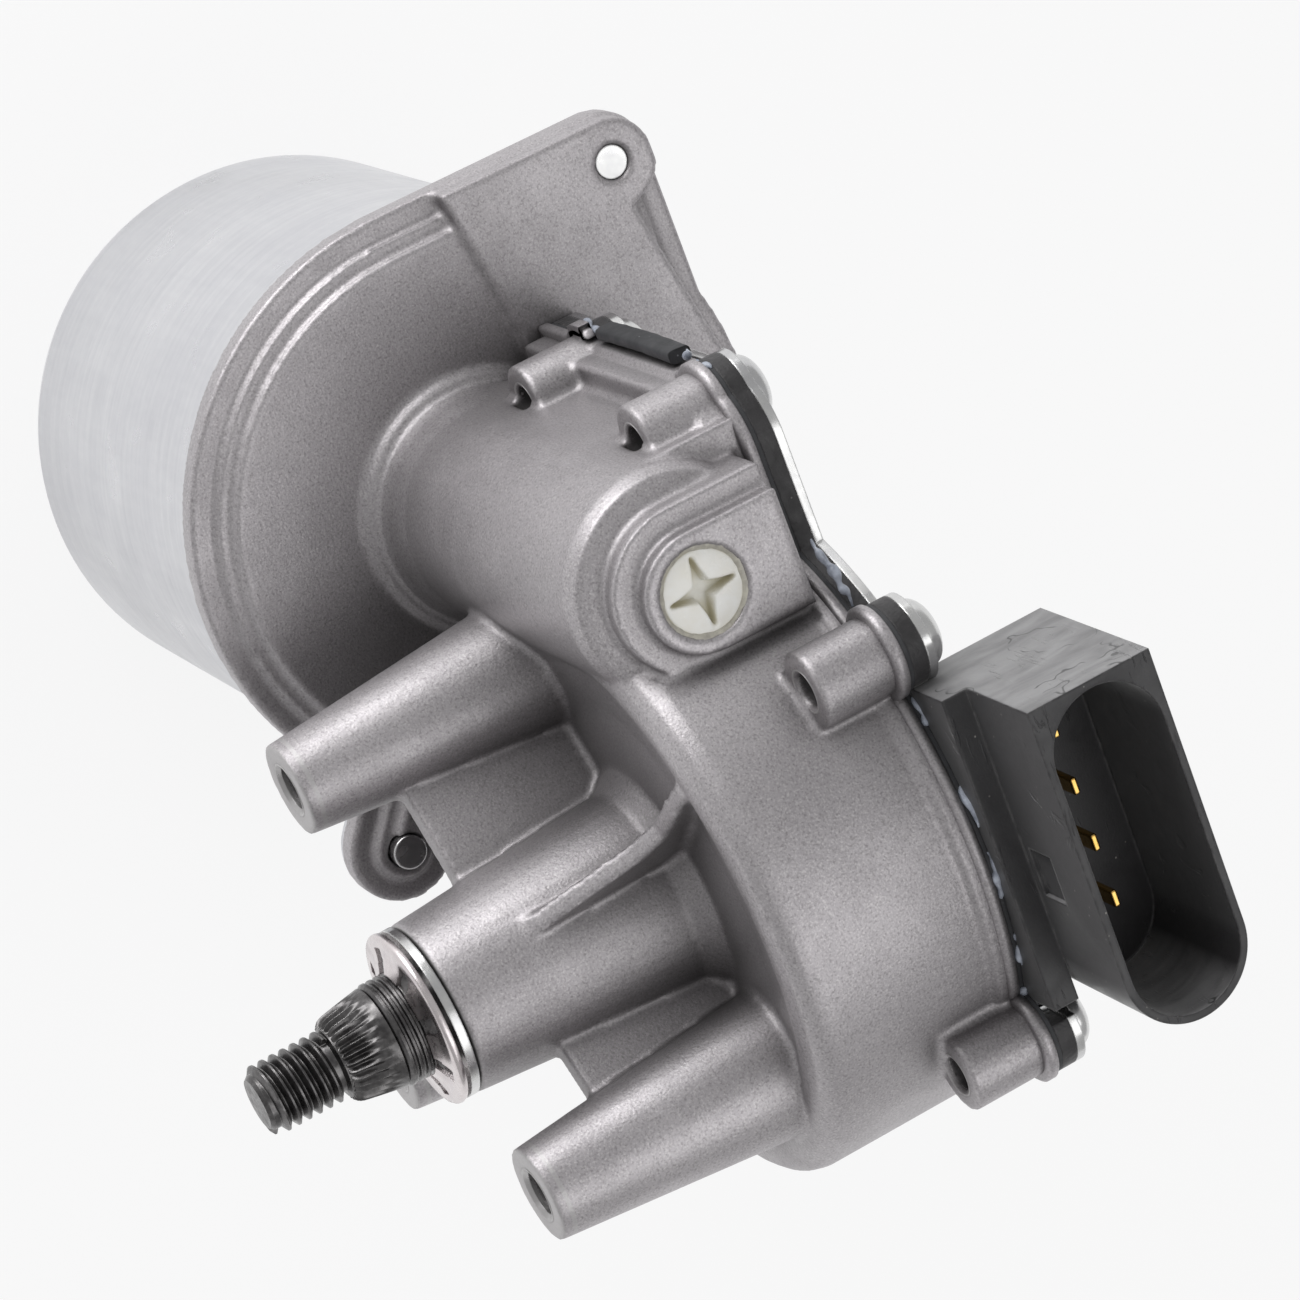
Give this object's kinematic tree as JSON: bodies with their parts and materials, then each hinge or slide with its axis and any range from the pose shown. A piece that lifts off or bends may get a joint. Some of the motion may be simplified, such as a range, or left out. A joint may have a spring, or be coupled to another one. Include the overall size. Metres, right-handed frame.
{
  "type": "wiper motor",
  "caption": "Worm-geared electric wiper motor with a die-cast gear housing, a drawn motor can, a splined output shaft, mounting posts and a moulded connector.",
  "frame": {"origin": "on the output shaft's axis, where the M8 stud leaves the splined taper", "axes": "-Y along the output stud, +Z from the motor can towards the thrust screw, parallel to the motor shaft; +X from the motor shaft towards the gear bowl"},
  "size_m": [0.106, 0.0933, 0.1545],
  "materials": {
    "cast_alloy": "die-cast, satin",
    "can_steel": "zinc-plated, satin",
    "zinc_steel": "bright zinc",
    "shaft_steel": "ground and oiled",
    "spring_steel": "spring steel",
    "black_plastic": "glass-filled, matte",
    "ivory_plastic": "acetal, satin",
    "wheel_plastic": "acetal, satin",
    "brush_plastic": "phenolic, matte",
    "insulation": "phenolic, satin",
    "contact_brass": "stamped, satin",
    "winding_copper": "enamelled wire",
    "commutator_copper": "turned copper",
    "bush_bronze": "sintered, oil soaked",
    "core_steel": "laminated",
    "ferrite": "sintered, matte",
    "black_rubber": "matte",
    "carbon": "graphite"
  },
  "bodies": {
    "gearbox": {"gear_housing": "cast_alloy", "front_bush": "bush_bronze", "rear_bush": "bush_bronze", "shaft_seal": "black_rubber", "contact_fingers": "contact_brass", "cover_gasket": "black_rubber", "contact_plate": "black_plastic", "cover_plate": "zinc_steel", "cover_screws": "zinc_steel", "connector_housing": "black_plastic", "connector_pins": "contact_brass", "drain_flap": "black_rubber", "thrust_pad": "ivory_plastic", "thrust_screw": "ivory_plastic", "tip_bush": "bush_bronze", "neck_bush": "bush_bronze", "motor_can": "can_steel", "rear_motor_bush": "bush_bronze", "bush_clip": "spring_steel", "motor_screws": "zinc_steel", "magnet_left": "ferrite", "magnet_right": "ferrite", "magnet_springs": "spring_steel", "brush_holder": "brush_plastic", "brushes": "carbon", "brush_springs": "spring_steel", "chokes": "winding_copper", "thermal_switch": "zinc_steel"},
    "output": {"output_shaft": "shaft_steel", "retaining_clip": "spring_steel", "worm_wheel": "wheel_plastic", "wheel_hub": "zinc_steel", "inner_washer": "zinc_steel", "outer_washer": "zinc_steel", "park_disc": "contact_brass"},
    "armature": {"armature_shaft": "shaft_steel", "armature_core": "core_steel", "armature_windings": "winding_copper", "commutator": "commutator_copper", "commutator_hub": "insulation"}
  },
  "joints": [
    {"name": "armature_spin", "type": "hinge", "parent": "gearbox", "child": "armature", "pos_m": [-0.036, 0.0495, 0], "axis": [0, 0, 1], "continuous": true},
    {"name": "output_spin", "type": "hinge", "parent": "gearbox", "child": "output", "pos_m": [0, 0, 0], "axis": [0, -1, 0], "continuous": true}
  ],
  "couplings": [
    {"joint": "output_spin", "follows": "armature_spin", "ratio": 0.016129}
  ]
}
